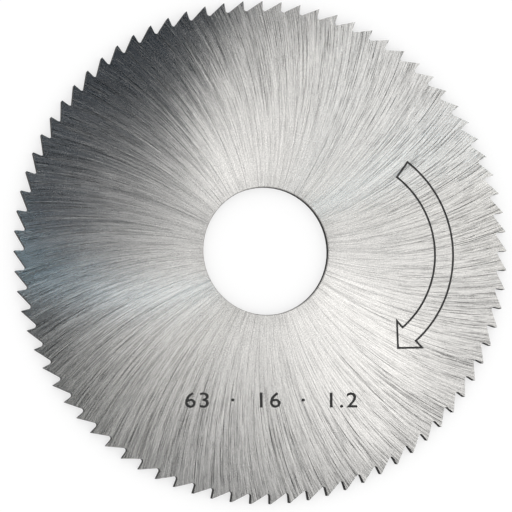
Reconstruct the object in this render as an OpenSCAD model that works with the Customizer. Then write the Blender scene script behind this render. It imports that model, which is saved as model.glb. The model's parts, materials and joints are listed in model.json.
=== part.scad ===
// Metal slitting saw: a thin disc of hardened steel with fine teeth all round its rim.
// It lies flat, with its axis on Z and the origin on the axis, halfway through its thickness.
// A cutting edge lies on +X, and seen from above the saw turns clockwise.

/* [Blade] */
// Diameter over the cutting edges
blade_d = 63; // [50:0.1:100]
// Thickness at the cutting edges, which is the width of the slot it cuts
blade_t = 1.2; // [0.8:0.05:3]
// Hollow grinding of each side from the edges down to the bore, in degrees
side_relief = 0.15; // [0.05:0.05:0.3]

/* [Bore] */
// Diameter of the bore that slides on the arbor
bore_d = 16; // [8:0.1:27]
// Chamfer that breaks the edge at each end of the bore
bore_chamfer = 0.1; // [0.05:0.01:0.2]

/* [Teeth] */
// Number of teeth
tooth_count = 80; // [60:1:100]
// Hook of the cutting face, from the radius through its edge, in degrees
rake = 0; // [0:0.5:8]
// Angle between a cutting face and the back of the tooth ahead of it, in degrees
gullet_angle = 60; // [50:1:72]
// Radius at the root of each gullet
gullet_r = 0.3; // [0.1:0.01:0.4]
// Width of the land left round the rim behind each cutting edge
tip_land = 0.06; // [0.04:0.01:0.2]

/* [Hidden] */

// Radii of the cutting edges and of the bore
tip_r = blade_d / 2;
bore_r = bore_d / 2;
// How far the gullet cutter reaches past the rim and past each side
overrun = 0.5;

// Half the thickness that the hollow grinding leaves at a radius
function half_t(r) = blade_t / 2 - (tip_r - r) * tan(side_relief);

// The unit vector at an angle, and the cross product of two plane vectors
function along(a) = [cos(a), sin(a)];
function turn(p, q) = p[0] * q[1] - p[1] * q[0];

// The gullet ahead of the cutting edge on +X runs to the heel of the land on the tooth before it
pitch = 360 / tooth_count;
land = tip_land / tip_r * 180 / PI;
edge = [tip_r, 0];
heel = tip_r * along(land - pitch);

// Its cutting face and its back run out from the point where they would meet
face_dir = along(-rake);
back_dir = along(-rake - gullet_angle);
face_len = turn(heel - edge, back_dir) / -turn(face_dir, back_dir);
apex = edge - face_len * face_dir;
back_len = norm(heel - apex);

// The round root touches both of them
root_tangent = gullet_r / tan(gullet_angle / 2);
root_centre = apex + gullet_r / sin(gullet_angle / 2) * along(-rake - gullet_angle / 2);

$fn = 128;

// Half of the blank's section: bore, chamfers and the two hollow-ground sides
module blank_section() {
    face_r = bore_r + bore_chamfer;
    bore_half = half_t(face_r) - bore_chamfer;
    polygon([
        [bore_r, -bore_half],
        [face_r, -half_t(face_r)],
        [tip_r, -half_t(tip_r)],
        [tip_r, half_t(tip_r)],
        [face_r, half_t(face_r)],
        [bore_r, bore_half],
    ]);
}

// Outline of the wheel that grinds a gullet, about the centre of its round edge, with the cutting face along X
module gullet_outline() {
    back_touch = gullet_r * along(-gullet_angle - 90);
    polygon([
        [0, 0],
        [0, gullet_r],
        [face_len - root_tangent + overrun, gullet_r],
        back_touch + (back_len - root_tangent + overrun) * along(-gullet_angle),
        back_touch,
    ]);
    circle(r = gullet_r);
}

module gullets() {
    for (i = [0 : tooth_count - 1])
        rotate(i * pitch)
            translate(root_centre)
                rotate(-rake)
                    linear_extrude(blade_t + 2 * overrun, center = true)
                        gullet_outline();
}

module saw_blade() {
    color("silver")
        difference() {
            rotate_extrude() blank_section();
            gullets();
        }
}

saw_blade();
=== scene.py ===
"""Looks of a metal slitting saw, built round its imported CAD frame.

The blade lies flat with its axis on Z, its marked side up and a cutting edge on +X.
Blender works in metres; the sizes below are in millimetres, as on a drawing.
"""

import json
import logging
import math
from dataclasses import dataclass, fields
from enum import Enum
from typing import Any, ClassVar, Union

import bmesh
import bpy
from mathutils import Matrix, Vector

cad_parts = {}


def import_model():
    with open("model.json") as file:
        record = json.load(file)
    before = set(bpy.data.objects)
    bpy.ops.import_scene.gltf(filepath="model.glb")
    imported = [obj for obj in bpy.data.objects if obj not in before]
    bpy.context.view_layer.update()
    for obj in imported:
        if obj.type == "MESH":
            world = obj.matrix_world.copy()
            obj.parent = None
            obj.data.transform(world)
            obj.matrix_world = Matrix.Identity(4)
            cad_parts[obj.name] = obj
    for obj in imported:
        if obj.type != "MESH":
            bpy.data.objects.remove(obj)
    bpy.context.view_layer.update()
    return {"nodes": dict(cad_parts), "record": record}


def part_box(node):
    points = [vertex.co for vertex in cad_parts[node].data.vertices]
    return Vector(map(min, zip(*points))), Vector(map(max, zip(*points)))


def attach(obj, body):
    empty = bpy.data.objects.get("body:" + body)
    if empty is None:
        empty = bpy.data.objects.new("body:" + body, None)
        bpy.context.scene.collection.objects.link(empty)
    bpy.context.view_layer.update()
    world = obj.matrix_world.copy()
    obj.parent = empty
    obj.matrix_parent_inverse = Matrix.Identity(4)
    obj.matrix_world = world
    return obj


LOG = logging.getLogger("slitting_saw")

BODY = "root"
BLADE_NODE = "saw_blade"
BORE_MOUNT = "arbor_bore"
MM = 0.001

Socket = bpy.types.NodeSocket
Number = Union[float, bpy.types.NodeSocket]
Pair = tuple[float, float]
Triple = tuple[float, float, float]

UP: Triple = (0.0, 0.0, 1.0)
WHITE: Triple = (1.0, 1.0, 1.0)
FULL_SIZE: Triple = (1.0, 1.0, 1.0)


class Op(Enum):
    """Sums that a Math node does."""

    ADD = "ADD"
    SUBTRACT = "SUBTRACT"
    MULTIPLY = "MULTIPLY"
    DIVIDE = "DIVIDE"
    MULTIPLY_ADD = "MULTIPLY_ADD"
    ABSOLUTE = "ABSOLUTE"
    SIGN = "SIGN"
    FLOOR = "FLOOR"
    FRACT = "FRACT"
    FLOORED_MODULO = "FLOORED_MODULO"
    MINIMUM = "MINIMUM"
    MAXIMUM = "MAXIMUM"
    SINE = "SINE"
    COSINE = "COSINE"
    ARCCOSINE = "ARCCOSINE"
    ARCTAN2 = "ARCTAN2"


class VectorOp(Enum):
    """Sums that a Vector Math node does."""

    ADD = "ADD"
    SUBTRACT = "SUBTRACT"
    SCALE = "SCALE"
    LENGTH = "LENGTH"
    CROSS = "CROSS_PRODUCT"
    NORMALIZE = "NORMALIZE"


class NodeSheet:
    """Node tree of one material or of the world, with short calls that lay its nodes.

    Attributes:
        NOISE_MIDDLE: The value that a noise swings about.
        NOISE_REACH: How far from its middle a noise usually goes.
    """

    NOISE_MIDDLE: ClassVar[float] = 0.5
    NOISE_REACH: ClassVar[float] = 0.25

    def __init__(self, tree: bpy.types.NodeTree) -> None:
        """Take over a node tree and empty it."""
        self.tree = tree
        self.tree.nodes.clear()

    def add(self, kind: str, **settings: Any) -> bpy.types.Node:
        """Lay one node.

        Args:
            kind: Blender's type name of the node.
            **settings: Properties of the node.

        Returns:
            The new node.
        """
        node = self.tree.nodes.new(kind)
        for name, value in settings.items():
            setattr(node, name, value)
        return node

    def feed(self, socket: Socket, value: Any) -> None:
        """Link a socket to another one, or write a plain value on it."""
        if isinstance(value, bpy.types.NodeSocket):
            self.tree.links.new(value, socket)
        else:
            socket.default_value = value

    def fill(self, node: bpy.types.Node, values: dict[str, Any]) -> None:
        """Feed several sockets of a node by their names."""
        for name, value in values.items():
            self.feed(node.inputs[name], value)

    def show(self, shader: Socket, output: str = "ShaderNodeOutputMaterial") -> None:
        """Put a shader on the surface."""
        self.feed(self.add(output).inputs["Surface"], shader)

    def math(self, op: Op, *values: Number) -> Socket:
        """Do a sum on numbers.

        Args:
            op: The sum.
            *values: Its terms.

        Returns:
            The result.
        """
        node = self.add("ShaderNodeMath", operation=op.value)
        for socket, value in zip(node.inputs, values):
            self.feed(socket, value)
        return node.outputs[0]

    def total(self, start: Number, *terms: tuple[Number, Number]) -> Socket:
        """Add up weighted terms.

        Args:
            start: What the sum starts from.
            *terms: Pairs of a value and its weight.

        Returns:
            The sum.
        """
        result = start
        for value, weight in terms:
            result = self.math(Op.MULTIPLY_ADD, value, weight, result)
        return result

    def vector(self, op: VectorOp, first: Any, second: Any = None, scale: Number = 1.0) -> Socket:
        """Do a sum on vectors.

        Args:
            op: The sum.
            first: First vector.
            second: Second vector, where the sum has one.
            scale: Factor, where the sum has one.

        Returns:
            The result, a number for a length and otherwise a vector.
        """
        node = self.add("ShaderNodeVectorMath", operation=op.value)
        self.feed(node.inputs[0], first)
        if second is not None:
            self.feed(node.inputs[1], second)
        if op is VectorOp.SCALE:
            self.feed(node.inputs["Scale"], scale)
        return node.outputs["Value" if op is VectorOp.LENGTH else "Vector"]

    def combine(self, x: Number, y: Number, z: Number) -> Socket:
        """Make a vector of three numbers."""
        node = self.add("ShaderNodeCombineXYZ")
        for socket, value in zip(node.inputs, (x, y, z)):
            self.feed(socket, value)
        return node.outputs[0]

    def split(self, vector: Socket) -> tuple[Socket, Socket, Socket]:
        """Take a vector apart into its three numbers."""
        node = self.add("ShaderNodeSeparateXYZ")
        self.feed(node.inputs[0], vector)
        return tuple(node.outputs)

    def place(self) -> Socket:
        """Read where a point of the piece lies, in millimetres."""
        coordinates = self.add("ShaderNodeTexCoord").outputs["Object"]
        return self.vector(VectorOp.SCALE, coordinates, scale=1.0 / MM)

    def seen_from(self, place: Socket, centre: Pair, turn_deg: float, size: Triple = FULL_SIZE) -> Socket:
        """Measure a place from another centre, along turned axes.

        Args:
            place: The place, in millimetres.
            centre: The new centre.
            turn_deg: Turn of the axes about Z.
            size: Length of a unit along each of them.

        Returns:
            The place as measured from there.
        """
        node = self.add("ShaderNodeMapping", vector_type="TEXTURE")
        turn = (0.0, 0.0, math.radians(turn_deg))
        self.fill(node, {"Vector": place, "Location": (*centre, 0.0), "Rotation": turn, "Scale": size})
        return node.outputs[0]

    def noise(self, vector: Socket, scale: float, detail: float, roughness: float = 0.5) -> Socket:
        """Lay a soft noise.

        Args:
            vector: Where the noise is read.
            scale: Its grain, in cells to a unit.
            detail: How many finer layers it has.
            roughness: How strong the finer layers are.

        Returns:
            The noise, about its middle.
        """
        node = self.add("ShaderNodeTexNoise")
        self.fill(node, {"Vector": vector, "Scale": scale, "Detail": detail, "Roughness": roughness})
        return node.outputs[0]

    def swing(self, noise: Socket) -> Socket:
        """Stretch a noise to a swing about 0 that reaches -1 and 1, or a little past them."""
        reach = self.NOISE_REACH
        return self.math(Op.MULTIPLY_ADD, noise, 1.0 / reach, -self.NOISE_MIDDLE / reach)

    def step(self, value: Number, span: Pair, ends: Pair = (0.0, 1.0)) -> Socket:
        """Go smoothly from one value to another.

        Args:
            value: What is measured.
            span: Where the change begins and where it is over.
            ends: Results before and after the change.

        Returns:
            The result.
        """
        node = self.add("ShaderNodeMapRange", interpolation_type="SMOOTHSTEP")
        self.fill(node, {"From Min": span[0], "From Max": span[1], "To Min": ends[0], "To Max": ends[1]})
        self.feed(node.inputs["Value"], value)
        return node.outputs["Result"]

    def fall(self, value: Number, span: Pair) -> Socket:
        """Go smoothly from 1 down to 0."""
        return self.step(value, span, (1.0, 0.0))

    def blend(self, share: Number, first: Number, second: Number) -> Socket:
        """Mix two numbers by a share."""
        node = self.add("ShaderNodeMix", data_type="FLOAT")
        for index, value in ((0, share), (2, first), (3, second)):
            self.feed(node.inputs[index], value)
        return node.outputs[0]

    def tint(self, share: Number, first: Any, second: Any) -> Socket:
        """Mix two colours by a share."""
        node = self.add("ShaderNodeMix", data_type="RGBA")
        for index, value in ((0, share), (6, first), (7, second)):
            self.feed(node.inputs[index], value)
        return node.outputs[2]

    def bump(self, height: Socket, depth_mm: float) -> Socket:
        """Raise a surface by a height.

        Args:
            height: The height, in units of the depth.
            depth_mm: How far a height of 1 stands up.

        Returns:
            The bent normal.
        """
        node = self.add("ShaderNodeBump")
        self.fill(node, {"Height": height, "Distance": depth_mm * MM})
        return node.outputs["Normal"]


def new_material(name: str) -> tuple[NodeSheet, bpy.types.Material]:
    """Start a material.

    Args:
        name: Name of the material.

    Returns:
        Its empty sheet of nodes and the material.
    """
    material = bpy.data.materials.new(name)
    material.use_nodes = True
    return NodeSheet(material.node_tree), material


def rgba(colour: Triple) -> tuple[float, float, float, float]:
    """Give a colour its full opacity."""
    return (*colour, 1.0)


def new_object(name: str, mesh: bmesh.types.BMesh, material: bpy.types.Material) -> bpy.types.Object:
    """Put a finished mesh into the scene.

    Args:
        name: Name of the object.
        mesh: Its mesh, in metres, which is used up.
        material: Its finish.

    Returns:
        The object.
    """
    data = bpy.data.meshes.new(name)
    mesh.to_mesh(data)
    mesh.free()
    data.materials.append(material)
    item = bpy.data.objects.new(name, data)
    bpy.context.scene.collection.objects.link(item)
    return item


def new_square(name: str, half_size: float, height: float, material: bpy.types.Material) -> bpy.types.Object:
    """Lay a level square over the origin.

    Args:
        name: Name of the object.
        half_size: Half the length of its sides, in millimetres.
        height: Its height, in millimetres.
        material: Its finish.

    Returns:
        The square.
    """
    mesh = bmesh.new()
    bmesh.ops.create_grid(mesh, x_segments=1, y_segments=1, size=half_size * MM)
    bmesh.ops.translate(mesh, verts=mesh.verts, vec=(0.0, 0.0, height * MM))
    return new_object(name, mesh, material)


@dataclass
class PathSockets:
    """What the shader knows at a point of the disc, in millimetres and radians.

    Attributes:
        place: The point.
        radius: Its distance from the axis.
        turn: The angle at which its grinding arc starts.
        ray_x: Cosine of that angle.
        ray_y: Sine of that angle.
        across: Direction square to the arc, along the disc.
    """

    place: Socket
    radius: Socket
    turn: Socket
    ray_x: Socket
    ray_y: Socket
    across: Socket


@dataclass(frozen=True)
class GrindingPath:
    """Arcs that a cup wheel leaves on a disc that turns under it.

    Attributes:
        wheel_r: Radius of the wheel.
        offset: Distance between the wheel's axis and the disc's.
    """

    wheel_r: float = 51.06
    offset: float = 52.3

    def trace(self, sheet: NodeSheet) -> PathSockets:
        """Find which grinding arc a point lies on.

        Args:
            sheet: Where the nodes are laid.

        Returns:
            The point's place and its arc.
        """
        place = sheet.place()
        x, y, z = sheet.split(place)
        flat = sheet.combine(x, y, 0.0)
        radius = sheet.vector(VectorOp.LENGTH, flat)
        swept = sheet.math(Op.MULTIPLY_ADD, radius, radius, self.offset**2 - self.wheel_r**2)
        ratio = sheet.math(Op.DIVIDE, swept, sheet.math(Op.MULTIPLY, radius, 2.0 * self.offset))
        lag = sheet.math(Op.ARCCOSINE, sheet.math(Op.MINIMUM, ratio, 1.0))
        angle = sheet.math(Op.ARCTAN2, y, x)
        turn = sheet.math(Op.MULTIPLY_ADD, lag, sheet.math(Op.SIGN, z), angle)
        turn = sheet.math(Op.FLOORED_MODULO, turn, math.tau)
        ray_x = sheet.math(Op.COSINE, turn)
        ray_y = sheet.math(Op.SINE, turn)
        centre = sheet.vector(VectorOp.SCALE, sheet.combine(ray_x, ray_y, 0.0), scale=self.offset)
        across = sheet.vector(VectorOp.NORMALIZE, sheet.vector(VectorOp.SUBTRACT, flat, centre))
        return PathSockets(place, radius, turn, ray_x, ray_y, across)


@dataclass(frozen=True)
class LineSet:
    """Fine lines side by side along the grinding arcs, each of which fades in and out by itself.

    Attributes:
        count: Number of lines all round.
        width: Width of a line, the same from the bore to the rim.
        length: Length over which a line comes and goes.
        lean: How far the lines drift off the arcs, in radians for each millimetre of radius.
        START_SPREAD: How far apart along the noise the lines may start.
        LINE_STEP: Step across the noise from one line to the next.
        DETAIL: How many finer layers the noise has.
        ROUGHNESS: How strong those layers are.
        EDGE: Shares of the width between which a line's edge fades.
    """

    count: int
    width: float
    length: float
    lean: float = 0.0

    START_SPREAD: ClassVar[float] = 90.0
    LINE_STEP: ClassVar[float] = 1.618
    DETAIL: ClassVar[float] = 4.0
    ROUGHNESS: ClassVar[float] = 0.75
    EDGE: ClassVar[Pair] = (0.4, 0.6)

    def lay(self, sheet: NodeSheet, at: PathSockets) -> Socket:
        """Lay the lines.

        Args:
            sheet: Where the nodes are laid.
            at: The point and its arc.

        Returns:
            The strength of the line at this point, about the noise's middle, and the middle between lines.
        """
        turn = sheet.math(Op.MULTIPLY_ADD, at.radius, self.lean, at.turn)
        turn = sheet.math(Op.MULTIPLY, turn, self.count / math.tau)
        line = sheet.math(Op.FLOOR, turn)
        start = sheet.add("ShaderNodeTexWhiteNoise", noise_dimensions="1D")
        sheet.feed(start.inputs["W"], line)
        along = sheet.math(Op.DIVIDE, at.radius, self.length)
        along = sheet.math(Op.MULTIPLY_ADD, start.outputs["Value"], self.START_SPREAD, along)
        spot = sheet.combine(sheet.math(Op.MULTIPLY, line, self.LINE_STEP), along, self.count)
        strength = sheet.noise(spot, 1.0, self.DETAIL, self.ROUGHNESS)
        aside = sheet.math(Op.SUBTRACT, sheet.math(Op.FRACT, turn), 0.5)
        aside = sheet.math(Op.MULTIPLY, sheet.math(Op.ABSOLUTE, aside), math.tau / self.count)
        aside = sheet.math(Op.MULTIPLY, aside, at.radius)
        share = sheet.fall(aside, (self.EDGE[0] * self.width, self.EDGE[1] * self.width))
        return sheet.blend(share, sheet.NOISE_MIDDLE, strength)


@dataclass(frozen=True)
class StreakSet:
    """Soft streaks along the grinding arcs, side by side without gaps.

    Attributes:
        circle_r: Radius of the noise's circle, so six times as many streaks go round.
        length: Length of a streak.
        shift: Offset that keeps one set apart from the others.
        detail: How many finer layers the noise has.
        ROUGHNESS: How strong those layers are.
    """

    circle_r: float
    length: float
    shift: float
    detail: float

    ROUGHNESS: ClassVar[float] = 0.55

    def lay(self, sheet: NodeSheet, at: PathSockets) -> Socket:
        """Lay the streaks.

        Args:
            sheet: Where the nodes are laid.
            at: The point and its arc.

        Returns:
            The noise, about its middle.
        """
        spot = sheet.combine(
            sheet.math(Op.MULTIPLY, at.ray_x, self.circle_r),
            sheet.math(Op.MULTIPLY, at.ray_y, self.circle_r),
            sheet.math(Op.MULTIPLY_ADD, at.radius, 1.0 / self.length, self.shift),
        )
        return sheet.noise(spot, 1.0, self.detail, self.ROUGHNESS)


@dataclass(frozen=True)
class Scratches:
    """Fine handling scratches that cross the grinding marks.

    Attributes:
        turns_deg: Directions in which they run.
        size: Length and width of a scratch.
        shift: How far the scratches of one direction are moved from those before.
        span: Values of the noise between which a scratch begins.
    """

    turns_deg: tuple[float, ...] = (17.0, 58.0, 101.0, 149.0)
    size: Pair = (5.0, 0.11)
    shift: Pair = (3.7, 11.3)
    span: Pair = (0.76, 0.81)

    def lay(self, sheet: NodeSheet, at: PathSockets) -> Socket:
        """Lay the scratches.

        Args:
            sheet: Where the nodes are laid.
            at: The point and its arc.

        Returns:
            1 in a scratch, otherwise 0.
        """
        result = 0.0
        for number, turn in enumerate(self.turns_deg):
            centre = (self.shift[0] * number, self.shift[1] * number)
            spot = sheet.seen_from(at.place, centre, turn, (*self.size, 1.0))
            line = sheet.step(sheet.noise(spot, 1.0, 0.0), self.span)
            result = sheet.math(Op.MAXIMUM, result, line)
        return result


@dataclass
class MarkSockets:
    """How strong each kind of mark is at a point of the blade's sides.

    Attributes:
        fine: Dense fine lines.
        coarse: Wider spaced lines.
        cut: Single dark cuts.
        score: Rough scores between them.
        deep_score: The scores again, deeper towards the rim.
        middle: Short streaks.
        broad: Long, wide streaks.
        scratch: Handling scratches.
        grain: Fine speckle.
        smudge: Wide clouds.
        wear: Rubbed ring round the bore, where collars grip.
    """

    fine: Socket
    coarse: Socket
    cut: Socket
    score: Socket
    deep_score: Socket
    middle: Socket
    broad: Socket
    scratch: Socket
    grain: Socket
    smudge: Socket
    wear: Socket


@dataclass(frozen=True)
class MarkWeights:
    """How much each kind of mark adds to one property of the steel, by the names of MarkSockets."""

    fine: float = 0.0
    coarse: float = 0.0
    cut: float = 0.0
    score: float = 0.0
    deep_score: float = 0.0
    middle: float = 0.0
    broad: float = 0.0
    scratch: float = 0.0
    grain: float = 0.0
    smudge: float = 0.0
    wear: float = 0.0

    def add_up(self, sheet: NodeSheet, marks: MarkSockets, start: Number) -> Socket:
        """Add up the marks by their weights.

        Args:
            sheet: Where the nodes are laid.
            marks: The marks.
            start: What the sum starts from.

        Returns:
            The sum.
        """
        weights = {field.name: getattr(self, field.name) for field in fields(self)}
        terms = [(getattr(marks, name), weight) for name, weight in weights.items() if weight]
        return sheet.total(start, *terms)


@dataclass(frozen=True)
class GroundSteel:
    """Hardened steel with curved grinding marks on both sides, with near-black painted shade on the walls of
    the gullets and the bore.

    Attributes:
        path: Arcs that the marks follow.
        bright: Colour of the sides between the marks.
        shade_painted_wall: Near-black colour of the gullets and of the bore, painted shade in these
            recesses.
        side_roughness: Roughness of the sides between the marks.
        wall_roughness: Roughness of the gullets and of the bore.
        wall_sheen: Specular level, which the metal of the sides leaves aside.
        wall_span: Steepness between which a side turns into a wall, as the normal's share of Z.
        anisotropy: How far the gloss is drawn out across the marks.
        fine: The dense fine lines.
        coarse: The wider spaced lines.
        tipped: The lines whose floor leans along the arcs.
        cut: The single dark cuts.
        cut_span: Strengths between which a line becomes a cut.
        score: The rough scores.
        score_span: Strengths between which a line becomes a score.
        middle: The short streaks.
        broad: The long, wide streaks.
        scratches: The handling scratches.
        grain_scale: Cells of the speckle in a millimetre.
        smudge_scale: Cells of the clouds in a millimetre.
        wear_scale: Cells of the wear in a millimetre.
        cloud_detail: Finer layers of clouds and wear.
        wear_span: Radii between which the wear round the bore ends.
        deep_span: Radii between which the lines deepen.
        deep_gain: Depth of the lines before and after that.
        line_tone: What the marks do to the colour, with their depth.
        line_limits: Darkest and lightest that they make it.
        cloud_tone: What the even marks do to the colour.
        roughening: What the marks do to the roughness.
        relief: What the marks do to the height.
        relief_mm: Height of the relief.
        line_tilt: Slope of the floor of the tipped lines.
    """

    path: GrindingPath = GrindingPath()
    bright: Triple = (0.665, 0.650, 0.627)
    # Near-black painted shade on the walls of the gullets and the bore.
    shade_painted_wall: Triple = (0.011, 0.0105, 0.010)
    side_roughness: float = 0.24
    wall_roughness: float = 0.45
    wall_sheen: float = 0.008
    wall_span: Pair = (0.45, 0.85)
    anisotropy: float = 0.97
    fine: LineSet = LineSet(1500, 0.16, 6.0)
    coarse: LineSet = LineSet(640, 0.10, 14.0, 0.0003)
    tipped: LineSet = LineSet(1850, 0.16, 16.0, -0.0002)
    cut: LineSet = LineSet(1400, 0.075, 14.0, 0.0002)
    cut_span: Pair = (0.46, 0.68)
    score: LineSet = LineSet(620, 0.08, 22.0, -0.0004)
    score_span: Pair = (0.55, 0.64)
    middle: StreakSet = StreakSet(110.0, 6.0, 23.0, 2.0)
    broad: StreakSet = StreakSet(22.0, 30.0, 41.0, 1.0)
    scratches: Scratches = Scratches()
    grain_scale: float = 7.0
    smudge_scale: float = 0.11
    wear_scale: float = 1.1
    cloud_detail: float = 3.0
    wear_span: Pair = (8.3, 10.2)
    deep_span: Pair = (12.0, 30.0)
    deep_gain: Pair = (0.42, 1.60)
    line_tone: MarkWeights = MarkWeights(fine=0.22, coarse=0.13, cut=-0.60, score=-0.18, middle=0.04)
    line_limits: Pair = (-0.80, 0.06)
    cloud_tone: MarkWeights = MarkWeights(broad=0.04, grain=0.13, smudge=0.02, wear=-0.16)
    roughening: MarkWeights = MarkWeights(
        fine=-0.01, cut=0.05, deep_score=0.24, scratch=0.008, grain=0.01, smudge=0.01
    )
    relief: MarkWeights = MarkWeights(middle=0.35, broad=0.3, scratch=-0.4)
    relief_mm: float = 0.001
    line_tilt: float = 0.022

    def wall_share(self, sheet: NodeSheet) -> Socket:
        """Tell the walls of the gullets and of the bore from the two sides.

        Args:
            sheet: Where the nodes are laid.

        Returns:
            1 on a wall, 0 on a side.
        """
        normal = sheet.split(sheet.add("ShaderNodeTexCoord").outputs["Normal"])
        return sheet.fall(sheet.math(Op.ABSOLUTE, normal[2]), self.wall_span)

    def lay_marks(self, sheet: NodeSheet, at: PathSockets, deepness: Socket) -> MarkSockets:
        """Lay every kind of mark.

        Args:
            sheet: Where the nodes are laid.
            at: The point and its arc.
            deepness: How deep the lines are at this radius.

        Returns:
            The marks.
        """
        score = sheet.step(self.score.lay(sheet, at), self.score_span)
        rubbed = sheet.fall(at.radius, self.wear_span)
        return MarkSockets(
            fine=sheet.swing(self.fine.lay(sheet, at)),
            coarse=sheet.swing(self.coarse.lay(sheet, at)),
            cut=sheet.step(self.cut.lay(sheet, at), self.cut_span),
            score=score,
            deep_score=sheet.math(Op.MULTIPLY, score, deepness),
            middle=sheet.swing(self.middle.lay(sheet, at)),
            broad=sheet.swing(self.broad.lay(sheet, at)),
            scratch=self.scratches.lay(sheet, at),
            grain=sheet.swing(sheet.noise(at.place, self.grain_scale, 0.0)),
            smudge=sheet.swing(sheet.noise(at.place, self.smudge_scale, self.cloud_detail)),
            wear=sheet.math(Op.MULTIPLY, rubbed, sheet.noise(at.place, self.wear_scale, self.cloud_detail)),
        )

    def side_colour(self, sheet: NodeSheet, marks: MarkSockets, deepness: Socket) -> Socket:
        """Darken the bright steel by its marks.

        Args:
            sheet: Where the nodes are laid.
            marks: The marks.
            deepness: How deep the lines are at this radius.

        Returns:
            The colour of a side.
        """
        darkest, lightest = self.line_limits
        lines = sheet.math(Op.MULTIPLY, self.line_tone.add_up(sheet, marks, 0.0), deepness)
        lines = sheet.math(Op.MAXIMUM, sheet.math(Op.MINIMUM, lines, lightest), darkest)
        tone = self.cloud_tone.add_up(sheet, marks, sheet.math(Op.ADD, lines, 1.0))
        return sheet.vector(VectorOp.SCALE, self.bright, scale=tone)

    def bent_normal(
        self, sheet: NodeSheet, at: PathSockets, marks: MarkSockets, side_share: Socket
    ) -> Socket:
        """Bend the normal by the relief of the marks and by the floor of the tipped lines.

        Args:
            sheet: Where the nodes are laid.
            at: The point and its arc.
            marks: The marks.
            side_share: 1 on a side, 0 on a wall.

        Returns:
            The normal.
        """
        relief = sheet.math(Op.MULTIPLY, self.relief.add_up(sheet, marks, 0.0), side_share)
        slope = sheet.math(Op.MULTIPLY, sheet.swing(self.tipped.lay(sheet, at)), self.line_tilt)
        along = sheet.vector(VectorOp.CROSS, UP, at.across)
        lean = sheet.vector(VectorOp.SCALE, along, scale=sheet.math(Op.MULTIPLY, slope, side_share))
        normal = sheet.vector(VectorOp.ADD, sheet.bump(relief, self.relief_mm), lean)
        return sheet.vector(VectorOp.NORMALIZE, normal)

    def make(self) -> bpy.types.Material:
        """Lay the finish.

        Returns:
            The material.
        """
        sheet, material = new_material("ground_steel")
        at = self.path.trace(sheet)
        deepness = sheet.step(at.radius, self.deep_span, self.deep_gain)
        marks = self.lay_marks(sheet, at, deepness)
        # Mask of the walls that carry the painted shade; it also sets their roughness and takes away their
        # metal.
        shade_painted_wall = self.wall_share(sheet)
        side_share = sheet.math(Op.SUBTRACT, 1.0, shade_painted_wall)
        side_rough = self.roughening.add_up(sheet, marks, self.side_roughness)
        shader = sheet.add("ShaderNodeBsdfPrincipled")
        sheet.fill(shader, {
            # The walls get the near-black colour, which is painted shade in the gullets and the bore.
            "Base Color": sheet.tint(shade_painted_wall, self.side_colour(sheet, marks, deepness), rgba(self.shade_painted_wall)),
            "Roughness": sheet.blend(shade_painted_wall, side_rough, self.wall_roughness),
            "Metallic": side_share,
            "Specular IOR Level": self.wall_sheen,
            "Anisotropic": self.anisotropy,
            "Tangent": at.across,
            "Normal": self.bent_normal(sheet, at, marks, side_share),
        })
        sheet.show(shader.outputs[0])
        return material


@dataclass(frozen=True)
class LaserMark:
    """Steel that a marking laser has burnt dark, line beside line.

    Attributes:
        burnt: Colour where it is burnt most.
        pale: Colour where it is burnt least.
        metallic: How far the burnt layer still shines as metal.
        rough_range: Roughness where the grain is least and how much the grain adds.
        line_pitch: Distance between two lines of the laser.
        line_depth: Depth of a line.
        line_share: How much the lines turn the colour pale.
        grain_scale: Cells of the grain in a millimetre.
        grain_detail: Finer layers of the grain.
        grain_share: Where the grain begins to turn the colour pale and how much it does so.
    """

    burnt: Triple = (0.020, 0.0195, 0.019)
    pale: Triple = (0.045, 0.0435, 0.042)
    metallic: float = 0.3
    rough_range: Pair = (0.45, 0.2)
    line_pitch: float = 0.05
    line_depth: float = 0.002
    line_share: float = 0.3
    grain_scale: float = 6.0
    grain_detail: float = 3.0
    grain_share: Pair = (-0.25, 1.1)

    def make(self) -> bpy.types.Material:
        """Lay the finish.

        Returns:
            The material.
        """
        sheet, material = new_material("laser_mark")
        place = sheet.place()
        grain = sheet.noise(place, self.grain_scale, self.grain_detail)
        wave = sheet.add("ShaderNodeTexWave", bands_direction="DIAGONAL")
        sheet.fill(wave, {"Vector": place, "Scale": 1.0 / (math.tau * self.line_pitch)})
        lines = wave.outputs["Fac"]
        grain_start, grain_weight = self.grain_share
        least_rough, rough_weight = self.rough_range
        share = sheet.total(grain_start, (grain, grain_weight), (lines, self.line_share))
        shader = sheet.add("ShaderNodeBsdfPrincipled")
        sheet.fill(shader, {
            "Base Color": sheet.tint(share, rgba(self.burnt), rgba(self.pale)),
            "Roughness": sheet.total(least_rough, (grain, rough_weight)),
            "Metallic": self.metallic,
            "Normal": sheet.bump(lines, self.line_depth),
        })
        sheet.show(shader.outputs[0])
        return material


@dataclass
class BladeSizes:
    """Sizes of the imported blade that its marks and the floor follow.

    Attributes:
        tip_r: Radius of the cutting edges.
        bore_r: Radius of the bore.
        half_t: Half the thickness at the cutting edges.
        hollow_deg: Hollow grinding of each side.
    """

    tip_r: float
    bore_r: float
    half_t: float
    hollow_deg: float = 0.15

    @classmethod
    def read(cls, record: dict[str, Any]) -> "BladeSizes":
        """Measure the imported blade.

        Args:
            record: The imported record.

        Returns:
            The sizes.
        """
        low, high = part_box(BLADE_NODE)
        bore = next(mount for mount in record["mounts"] if mount["name"] == BORE_MOUNT)
        return cls(high.x / MM, bore["dims"]["r_mm"], (high.z - low.z) / 2.0 / MM)

    def side_height(self, x: float, y: float) -> float:
        """Height of the hollow-ground upper side at a place, in millimetres."""
        drop = (self.tip_r - math.hypot(x, y)) * math.tan(math.radians(self.hollow_deg))
        return self.half_t - drop


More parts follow.
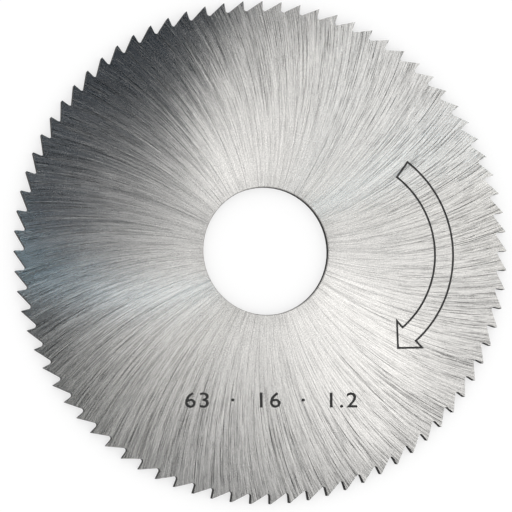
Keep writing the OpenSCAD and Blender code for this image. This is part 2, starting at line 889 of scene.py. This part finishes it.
@dataclass
class SawBlade:
    """The toothed disc, which keeps its CAD shape."""

    node: bpy.types.Object
    finish: GroundSteel = GroundSteel()

    def dress(self) -> None:
        """Give the disc its finish."""
        self.node.data.materials.clear()
        self.node.data.materials.append(self.finish.make())
        LOG.info("%s dressed in ground steel", self.node.name)


@dataclass
class Marking:
    """A mark on the upper side, as thin as the burnt layer that a laser leaves.

    Attributes:
        sizes: Sizes of the blade.
        material: Finish of the mark.
        sink: How deep the burnt layer goes.
        stand: How far it stands up.
        MERGE_GAP: Distance below which two points are one.
    """

    sizes: BladeSizes
    material: bpy.types.Material
    sink: float = 0.004
    stand: float = 0.004

    MERGE_GAP: ClassVar[float] = 1e-4

    def settle(self, mesh: bmesh.types.BMesh, name: str) -> bpy.types.Object:
        """Lay flat faces on the blade's side, give them their thickness and make the piece.

        Args:
            mesh: Flat faces that look up, in millimetres.
            name: Name of the piece.

        Returns:
            The piece, which rides with the blade.
        """
        bmesh.ops.remove_doubles(mesh, verts=mesh.verts, dist=self.MERGE_GAP)
        for vert in mesh.verts:
            vert.co.z = self.sizes.side_height(vert.co.x, vert.co.y) - self.sink
        lower = list(mesh.faces)
        raised = bmesh.ops.extrude_face_region(mesh, geom=lower, use_keep_orig=True)
        top = [item for item in raised["geom"] if isinstance(item, bmesh.types.BMVert)]
        bmesh.ops.translate(mesh, verts=top, vec=(0.0, 0.0, self.sink + self.stand))
        bmesh.ops.recalc_face_normals(mesh, faces=mesh.faces)
        bmesh.ops.scale(mesh, verts=mesh.verts, vec=(MM, MM, MM))
        piece = new_object(name, mesh, self.material)
        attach(piece, BODY)
        LOG.info("%s: %d faces", name, len(piece.data.polygons))
        return piece


@dataclass
class DirectionArrow(Marking):
    """Outline of a bent arrow that shows which way the saw turns.

    Attributes:
        centre: Centre of the shaft's two arcs.
        outer_r: Radius of its outer side.
        inner_r: Radius of its inner side.
        tail_deg: Angle at which both sides start.
        outer_neck_deg: Angle at which the outer side meets the head.
        inner_neck_deg: Angle at which the inner side meets the head.
        outer_barb: Outer corner of the head.
        tip: Point of the head.
        inner_barb: Inner corner of the head.
        line: Width of the line.
        arc_steps: Straight steps of each arc.
    """

    centre: Pair = (9.85, -0.28)
    outer_r: float = 14.5
    inner_r: float = 12.1
    tail_deg: float = 53.05
    outer_neck_deg: float = -49.9
    inner_neck_deg: float = -50.9
    outer_barb: Pair = (19.99, -12.22)
    tip: Pair = (16.83, -12.26)
    inner_barb: Pair = (16.77, -8.85)
    line: float = 0.26
    arc_steps: int = 48

    def arc(
        self, mesh: bmesh.types.BMesh, radius: float, end_deg: float
    ) -> tuple[bmesh.types.BMVert, bmesh.types.BMVert]:
        """Draw one long side of the arrow's shaft, from its tail.

        Args:
            mesh: Where it is drawn.
            radius: Radius of the side.
            end_deg: Angle at which it ends.

        Returns:
            Its first and last points.
        """
        start = math.radians(self.tail_deg)
        centre = Vector((*self.centre, 0.0))
        first = mesh.verts.new(centre + radius * Vector((math.cos(start), math.sin(start), 0.0)))
        swept = bmesh.ops.spin(
            mesh, geom=[first], cent=centre, axis=UP,
            angle=math.radians(end_deg) - start, steps=self.arc_steps, use_duplicate=False,
        )
        last = next(item for item in swept["geom_last"] if isinstance(item, bmesh.types.BMVert))
        return first, last

    def build(self) -> bpy.types.Object:
        """Make the arrow.

        Returns:
            The piece.
        """
        mesh = bmesh.new()
        outer_tail, outer_neck = self.arc(mesh, self.outer_r, self.outer_neck_deg)
        inner_tail, inner_neck = self.arc(mesh, self.inner_r, self.inner_neck_deg)
        head = [outer_neck]
        head += [mesh.verts.new((*point, 0.0)) for point in (self.outer_barb, self.tip, self.inner_barb)]
        head.append(inner_neck)
        for start, end in zip(head, head[1:]):
            mesh.edges.new((start, end))
        mesh.edges.new((outer_tail, inner_tail))
        bmesh.ops.edgeloop_fill(mesh, edges=mesh.edges)
        bmesh.ops.recalc_face_normals(mesh, faces=mesh.faces)
        self.grow(mesh)
        filled = list(mesh.faces)
        bmesh.ops.inset_region(
            mesh, faces=filled, thickness=self.line, use_boundary=True, use_even_offset=True
        )
        bmesh.ops.delete(mesh, geom=filled, context="FACES_ONLY")
        return self.settle(mesh, "direction_arrow")

    def grow(self, mesh: bmesh.types.BMesh) -> None:
        """Move the filled outline out by half a line, so that the line lies along its middle."""
        filled = list(mesh.faces)
        rim = bmesh.ops.inset_region(
            mesh, faces=filled, thickness=-self.line / 2.0, use_boundary=True, use_even_offset=True
        )
        bmesh.ops.delete(mesh, geom=rim["faces"], context="FACES")


@dataclass
class SizeMark(Marking):
    """Plain numbers of the blade's own sizes: diameter, bore and thickness.

    Attributes:
        centre: Middle of the line of numbers.
        turn_deg: Turn of the line.
        letter_h: Height of a figure.
        length: Length of the line.
        between: What stands between two numbers.
        letter_gap: Distance of the figures, as a share of the font's own.
        weight: How much bolder than the font's own the strokes are.
        curve_steps: Steps of each curve of a figure.
    """

    centre: Pair = (0.4, -18.6)
    turn_deg: float = -0.7
    letter_h: float = 1.92
    length: float = 22.0
    between: str = "  ·  "
    letter_gap: float = 1.15
    weight: float = 0.009
    curve_steps: int = 4

    def build(self) -> bpy.types.Object:
        """Make the numbers.

        Returns:
            The piece.
        """
        numbers = (2.0 * self.sizes.tip_r, 2.0 * self.sizes.bore_r, 2.0 * self.sizes.half_t)
        curve = bpy.data.curves.new("size_numbers", "FONT")
        curve.body = self.between.join(f"{number:.3g}" for number in numbers)
        curve.space_character = self.letter_gap
        curve.offset = self.weight
        curve.resolution_u = self.curve_steps
        text = bpy.data.objects.new("size_numbers", curve)
        bpy.context.scene.collection.objects.link(text)
        bpy.context.view_layer.update()
        outline = bpy.data.meshes.new_from_object(text.evaluated_get(bpy.context.evaluated_depsgraph_get()))
        bpy.data.objects.remove(text)
        mesh = bmesh.new()
        mesh.from_mesh(outline)
        bpy.data.meshes.remove(outline)
        self.fit(mesh)
        return self.settle(mesh, "size_numbers")

    def fit(self, mesh: bmesh.types.BMesh) -> None:
        """Bring the numbers to their height, length and place."""
        low = Vector(min(vert.co[axis] for vert in mesh.verts) for axis in range(3))
        high = Vector(max(vert.co[axis] for vert in mesh.verts) for axis in range(3))
        middle = (low + high) / 2.0
        bmesh.ops.translate(mesh, verts=mesh.verts, vec=-middle)
        stretch = (self.length / (high.x - low.x), self.letter_h / (high.y - low.y), 1.0)
        bmesh.ops.scale(mesh, verts=mesh.verts, vec=stretch)
        turn = Matrix.Rotation(math.radians(self.turn_deg), 3, "Z")
        bmesh.ops.rotate(mesh, verts=mesh.verts, cent=(0.0, 0.0, 0.0), matrix=turn)
        bmesh.ops.translate(mesh, verts=mesh.verts, vec=(*self.centre, 0.0))


class PatchShape(Enum):
    """Outlines that a patch of the overhead panel can have."""

    BOX = "box"
    OVAL = "oval"


@dataclass(frozen=True)
class Patch:
    """A soft-edged light or dark patch of the overhead panel.

    Attributes:
        shape: Its outline.
        centre: Its middle.
        half_length: Half its length.
        half_width: Half its width.
        turn_deg: Turn of its length from X.
        edge: Width over which its edge fades.
        colour: Its glow, where 1 is white.
    """

    shape: PatchShape
    centre: Pair
    half_length: float
    half_width: float
    turn_deg: float
    edge: float
    colour: Triple

    def cover(self, sheet: NodeSheet, place: Socket) -> Socket:
        """Tell how far the patch covers a point.

        Args:
            sheet: Where the nodes are laid.
            place: The point, in millimetres.

        Returns:
            1 inside the patch, 0 outside it.
        """
        along, across, _ = sheet.split(sheet.seen_from(place, self.centre, self.turn_deg))
        if self.shape is PatchShape.OVAL:
            along = sheet.math(Op.DIVIDE, along, self.half_length)
            across = sheet.math(Op.DIVIDE, across, self.half_width)
            reach = sheet.vector(VectorOp.LENGTH, sheet.combine(along, across, 0.0))
            return sheet.fall(reach, (1.0 - self.edge / self.half_width, 1.0))
        covers = []
        for distance, half_size in ((along, self.half_length), (across, self.half_width)):
            span = (half_size - self.edge / 2.0, half_size + self.edge / 2.0)
            covers.append(sheet.fall(sheet.math(Op.ABSOLUTE, distance), span))
        return sheet.math(Op.MULTIPLY, *covers)


@dataclass
class OverheadPanel:
    """The studio's ceiling as the blade mirrors it: pale cloth, a dark card, soft boxes and flags.

    Attributes:
        height: Height of the panel.
        half_size: Half the length of its sides.
        cloth: Glow of the cloth.
        card: Dark card over the blade.
        main_box: Soft box that lights most of the blade.
        warm_box: Small, warmer soft box beside it.
        sky_box: Long, bluish soft box.
        left_flag: Flag across the card.
        sky_flag: Narrow flag along the bluish box.
        corner_flag: Wide flag past the card.
    """

    height: float = 286.0
    half_size: float = 640.0
    cloth: Triple = (0.68, 0.70, 0.715)
    card: Patch = Patch(PatchShape.OVAL, (17.0, -2.0), 185.0, 185.0, 0.0, 37.0, (0.0, 0.009, 0.016))
    main_box: Patch = Patch(PatchShape.BOX, (98.0, 29.0), 138.0, 49.0, 36.5, 8.0, (2.07, 2.07, 2.07))
    warm_box: Patch = Patch(PatchShape.BOX, (269.0, -174.0), 50.0, 92.0, -46.0, 17.0, (1.50, 1.45, 1.05))
    sky_box: Patch = Patch(PatchShape.BOX, (-52.0, 281.0), 198.0, 34.0, 109.0, 6.0, (2.35, 3.60, 4.35))
    left_flag: Patch = Patch(PatchShape.OVAL, (-36.0, 21.0), 230.0, 47.0, 127.5, 18.0, (0.0, 0.010, 0.018))
    sky_flag: Patch = Patch(PatchShape.OVAL, (3.0, 101.0), 347.0, 25.0, 98.0, 25.0, (0.0, 0.010, 0.036))
    corner_flag: Patch = Patch(PatchShape.OVAL, (151.0, 207.0), 267.0, 92.0, 22.0, 24.0, (0.0, 0.010, 0.030))

    @property
    def patches(self) -> tuple[Patch, ...]:
        """The patches, each of which covers those before it."""
        boxes = (self.main_box, self.warm_box, self.sky_box)
        flags = (self.left_flag, self.sky_flag, self.corner_flag)
        return (self.card, *boxes, *flags)

    def finish(self) -> bpy.types.Material:
        """Lay the cloth and its patches.

        Returns:
            The material.
        """
        sheet, material = new_material("overhead_panel")
        place = sheet.place()
        colour = rgba(self.cloth)
        for patch in self.patches:
            colour = sheet.tint(patch.cover(sheet, place), colour, rgba(patch.colour))
        glow = sheet.add("ShaderNodeEmission")
        sheet.feed(glow.inputs["Color"], colour)
        sheet.show(glow.outputs[0])
        return material

    def hang(self) -> bpy.types.Object:
        """Hang the panel where only reflections show it.

        Returns:
            The panel.
        """
        panel = new_square("studio_panel", self.half_size, self.height, self.finish())
        panel.visible_camera = False
        panel.visible_diffuse = False
        panel.visible_shadow = False
        panel.visible_transmission = False
        return panel


@dataclass
class Studio:
    """White floor, even white light all round and the overhead panel that the blade mirrors.

    Attributes:
        floor_z: Height of the floor.
        floor_half: Half the length of its sides.
        floor_colour: Its colour.
        floor_roughness: Its roughness.
        floor_glow: What lifts the floor to white where it is seen.
        light: Strength of the light all round.
    """

    floor_z: float
    floor_half: float = 1500.0
    floor_colour: Triple = (0.36, 0.36, 0.36)
    floor_roughness: float = 0.9
    floor_glow: float = 0.66
    light: float = 1.0

    def build(self) -> None:
        """Set the studio up."""
        self.lay_floor()
        self.light_world()
        OverheadPanel().hang()
        LOG.info("studio set up")

    @staticmethod
    def seen_share(sheet: NodeSheet) -> Socket:
        """Tell the rays that show a backdrop from those that light the object.

        Args:
            sheet: Where the nodes are laid.

        Returns:
            1 for camera, glossy and transmission rays, otherwise 0.
        """
        rays = sheet.add("ShaderNodeLightPath").outputs
        share = sheet.math(Op.MAXIMUM, rays["Is Camera Ray"], rays["Is Glossy Ray"])
        return sheet.math(Op.MAXIMUM, share, rays["Is Transmission Ray"])

    def lay_floor(self) -> None:
        """Lay the floor that the blade rests on."""
        sheet, material = new_material("studio_floor")
        shader = sheet.add("ShaderNodeBsdfPrincipled")
        sheet.fill(shader, {
            "Base Color": rgba(self.floor_colour),
            "Roughness": self.floor_roughness,
            "Specular IOR Level": 0.0,
            "Emission Color": rgba(WHITE),
            "Emission Strength": sheet.math(Op.MULTIPLY, self.seen_share(sheet), self.floor_glow),
        })
        sheet.show(shader.outputs[0])
        floor = new_square("studio_floor", self.floor_half, self.floor_z, material)

    def light_world(self) -> None:
        """Fill the room with even white light."""
        world = bpy.data.worlds.new("studio_world")
        world.use_nodes = True
        sheet = NodeSheet(world.node_tree)
        background = sheet.add("ShaderNodeBackground")
        strength = sheet.blend(self.seen_share(sheet), self.light, 1.0)
        sheet.fill(background, {"Color": rgba(WHITE), "Strength": strength})
        sheet.show(background.outputs[0], "ShaderNodeOutputWorld")
        bpy.context.scene.world = world


@dataclass
class PhotoCamera:
    """Camera at the photograph's place.

    Attributes:
        place: Where it stands.
        aim: The point it looks at.
        roll_deg: Roll about the line of sight.
        lens_mm: Focal length.
        sensor_mm: Width of the sensor.
        near: Distance from which it sees.
    """

    place: Triple = (-66.5, -21.8, 286.2)
    aim: Triple = (-1.21, -0.61, 0.0)
    roll_deg: float = 0.88
    lens_mm: float = 165.65
    sensor_mm: float = 36.0
    near: float = 10.0

    def build(self) -> bpy.types.Object:
        """Set the camera up.

        Returns:
            The camera, which is the scene's own.
        """
        forward = (Vector(self.aim) - Vector(self.place)).normalized()
        right = forward.cross(Vector((0.0, 1.0, 0.0))).normalized()
        level = right.cross(forward)
        roll = math.radians(self.roll_deg)
        up = level * math.cos(roll) + right * math.sin(roll)
        axes = Matrix((forward.cross(up), up, -forward)).transposed()
        data = bpy.data.cameras.new("photo_camera")
        data.sensor_width = self.sensor_mm
        data.lens = self.lens_mm
        data.clip_start = self.near * MM
        camera = bpy.data.objects.new("photo_camera", data)
        camera.matrix_world = Matrix.Translation(Vector(self.place) * MM) @ axes.to_4x4()
        bpy.context.scene.collection.objects.link(camera)
        bpy.context.scene.camera = camera
        return camera


def main() -> None:
    """Build the saw's looks, the studio and the camera."""
    logging.basicConfig(level=logging.INFO, format="%(name)s: %(message)s")
    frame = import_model()
    bpy.context.scene.view_settings.view_transform = "Standard"
    sizes = BladeSizes.read(frame["record"])
    PhotoCamera().build()
    SawBlade(frame["nodes"][BLADE_NODE]).dress()
    burnt = LaserMark().make()
    DirectionArrow(sizes, burnt).build()
    SizeMark(sizes, burnt).build()
    Studio(floor_z=-sizes.half_t).build()


if __name__ == "__main__":
    main()
